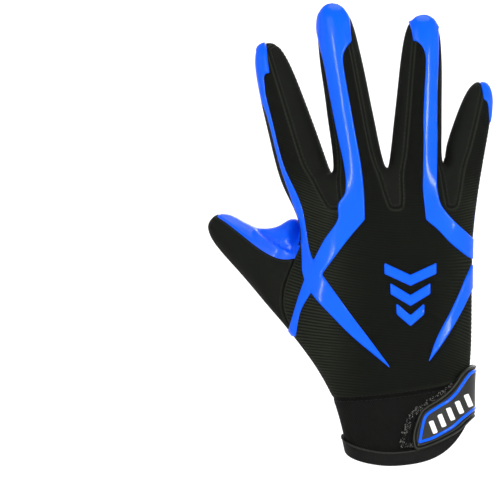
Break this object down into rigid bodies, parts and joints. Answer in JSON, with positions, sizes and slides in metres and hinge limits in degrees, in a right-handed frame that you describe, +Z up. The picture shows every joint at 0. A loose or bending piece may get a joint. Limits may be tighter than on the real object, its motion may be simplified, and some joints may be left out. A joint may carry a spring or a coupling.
{
  "type": "football glove",
  "caption": "Right-hand football glove with a blue coated palm, ribbed black back, raised blue stripes and a wrapped cuff strap, shown filled with fingers spread.",
  "frame": {"origin": "middle of the cuff's mouth, where the hand goes in", "axes": "+Z up along the fingers, +Y towards the palm side, back of the hand towards -Y, thumb towards -X"},
  "size_m": [0.1438, 0.0535, 0.2319],
  "materials": {
    "ribbed_mesh": "fine ribbed knit, matt",
    "stretch_fabric": "smooth stretch fabric",
    "coated_palm": "glossy tacky coating on fabric",
    "cuff_knit": "padded diagonal knit",
    "binding_tape": "folded edge tape",
    "loop_pile": "fuzzy loop pile",
    "strap_rubber": "satin moulded rubber",
    "raised_blue": "raised rubbery print",
    "strap_white": "satin raised print"
  },
  "bodies": {
    "root": {"back_panel": "ribbed_mesh", "palm_panel": "coated_palm", "thumb_back": "stretch_fabric", "fourchette_index_middle": "stretch_fabric", "fourchette_middle_ring": "stretch_fabric", "fourchette_ring_little": "stretch_fabric", "cuff_back": "cuff_knit", "cuff_palm": "cuff_knit", "cuff_binding": "binding_tape", "loop_patch": "loop_pile", "closure_strap": "strap_rubber", "strap_outline": "raised_blue", "strap_mark_1": "strap_white", "strap_mark_2": "strap_white", "strap_mark_3": "strap_white", "strap_mark_4": "strap_white", "strap_mark_5": "strap_white", "overlay_radial": "raised_blue", "overlay_ring": "raised_blue", "overlay_ulnar": "raised_blue", "overlay_little": "raised_blue", "chevron_1": "raised_blue", "chevron_2": "raised_blue", "chevron_3": "raised_blue"}
  },
  "joints": []
}
